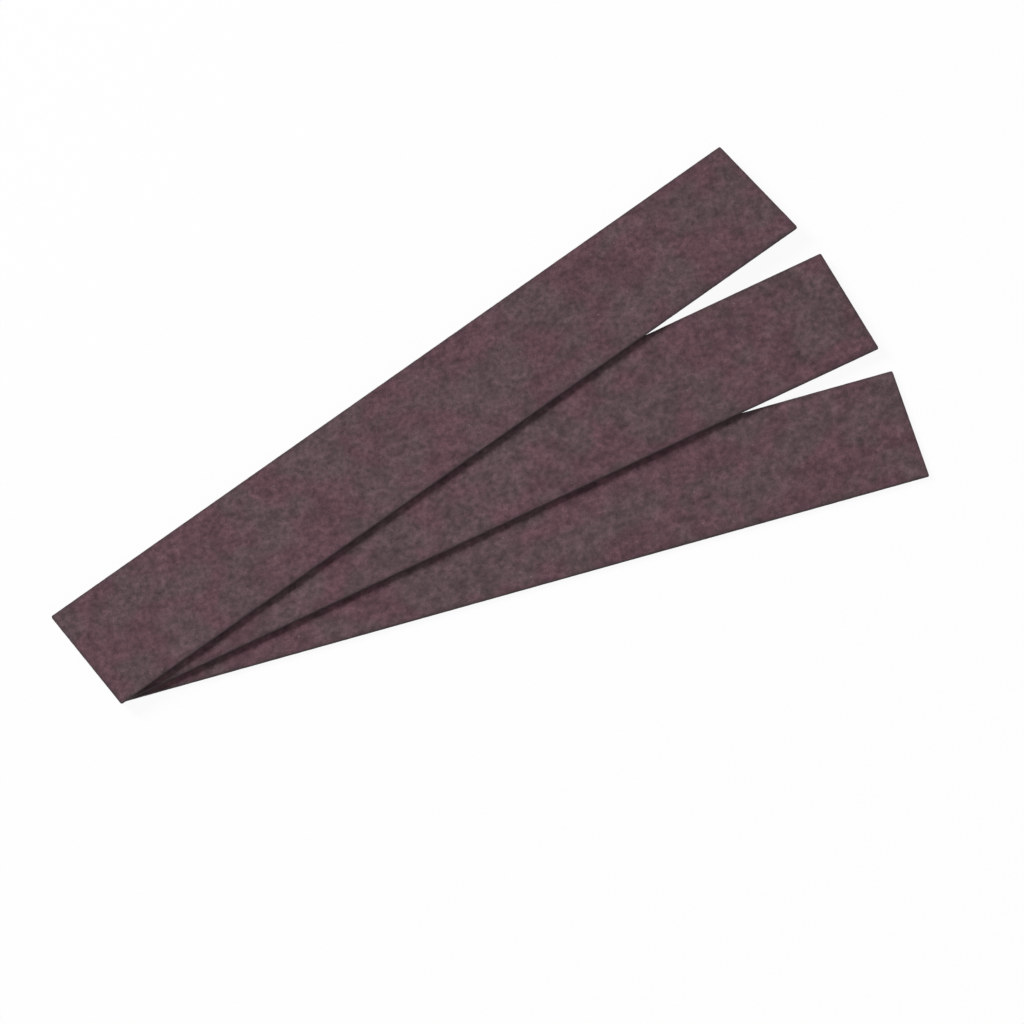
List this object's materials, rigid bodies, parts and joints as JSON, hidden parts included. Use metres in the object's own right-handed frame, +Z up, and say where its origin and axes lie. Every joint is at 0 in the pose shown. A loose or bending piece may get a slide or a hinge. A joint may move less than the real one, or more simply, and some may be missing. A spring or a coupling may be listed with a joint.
{
  "type": "sanding stick set",
  "caption": "Thin flat double-sided sanding sticks, stacked and fanned out from one corner, for smoothing models and small hobby parts by hand.",
  "frame": {"origin": "centre of the bottom stick's underside, on the surface that the stack lies on", "axes": "+X along the bottom stick, from the pinched end to the fanned end; +Z up, out of the abrasive faces; the fan opens towards +Y"},
  "size_m": [0.1343, 0.0649, 0.0016],
  "materials": {
    "grit_coat": "purple-brown abrasive grains in a matte resin coat",
    "backing_paper": "dark resin-treated paper, seen only at the cut edges",
    "adhesive_film": "dark glue line, seen only at the cut edges",
    "core_plastic": "dark grey plastic strip with sheared edges"
  },
  "bodies": {
    "bottom_stick": {"bottom_stick_lower_grit": "grit_coat", "bottom_stick_lower_backing": "backing_paper", "bottom_stick_lower_adhesive": "adhesive_film", "bottom_stick_core": "core_plastic", "bottom_stick_upper_adhesive": "adhesive_film", "bottom_stick_upper_backing": "backing_paper", "bottom_stick_upper_grit": "grit_coat"},
    "middle_stick": {"middle_stick_lower_grit": "grit_coat", "middle_stick_lower_backing": "backing_paper", "middle_stick_lower_adhesive": "adhesive_film", "middle_stick_core": "core_plastic", "middle_stick_upper_adhesive": "adhesive_film", "middle_stick_upper_backing": "backing_paper", "middle_stick_upper_grit": "grit_coat"},
    "top_stick": {"top_stick_lower_grit": "grit_coat", "top_stick_lower_backing": "backing_paper", "top_stick_lower_adhesive": "adhesive_film", "top_stick_core": "core_plastic", "top_stick_upper_adhesive": "adhesive_film", "top_stick_upper_backing": "backing_paper", "top_stick_upper_grit": "grit_coat"}
  },
  "joints": [
    {"name": "middle_stick_fan", "type": "hinge", "parent": "bottom_stick", "child": "middle_stick", "pos_m": [-0.0611, -0.00932, 0.00052], "axis": [0, 0, 1], "range_deg": [-10.7, 19.3]},
    {"name": "top_stick_fan", "type": "hinge", "parent": "middle_stick", "child": "top_stick", "pos_m": [-0.0611, -0.00932, 0.00108], "axis": [0, 0, 1], "range_deg": [-11.35, 18.65]}
  ]
}
